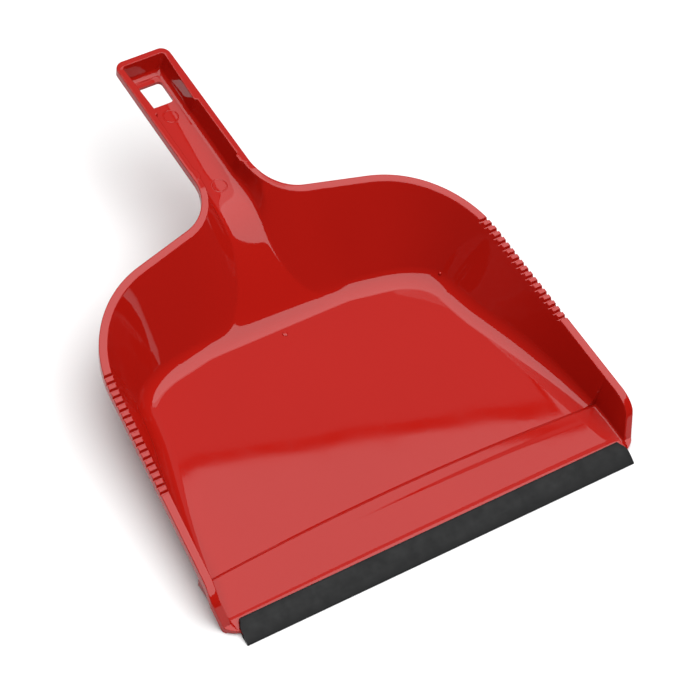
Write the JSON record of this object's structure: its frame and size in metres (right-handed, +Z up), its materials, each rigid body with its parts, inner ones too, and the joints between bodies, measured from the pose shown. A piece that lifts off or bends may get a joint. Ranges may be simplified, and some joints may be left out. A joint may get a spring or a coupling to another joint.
{
  "type": "dustpan",
  "caption": "Handheld dustpan: wide shallow pan with rolled rim, comb-notched sides, open channel handle with a hanging hole, and a push-on rubber lip.",
  "frame": {"origin": "under the middle of the whole object, on the ground plane", "axes": "+X across the mouth, +Y from the mouth back to the handle end, +Z up"},
  "size_m": [0.2498, 0.3036, 0.0588],
  "materials": {
    "pan": "glossy injection-moulded plastic",
    "rubber_lip": "satin black rubber"
  },
  "bodies": {
    "root": {"pan": "pan", "rubber_lip": "rubber_lip"}
  },
  "joints": []
}
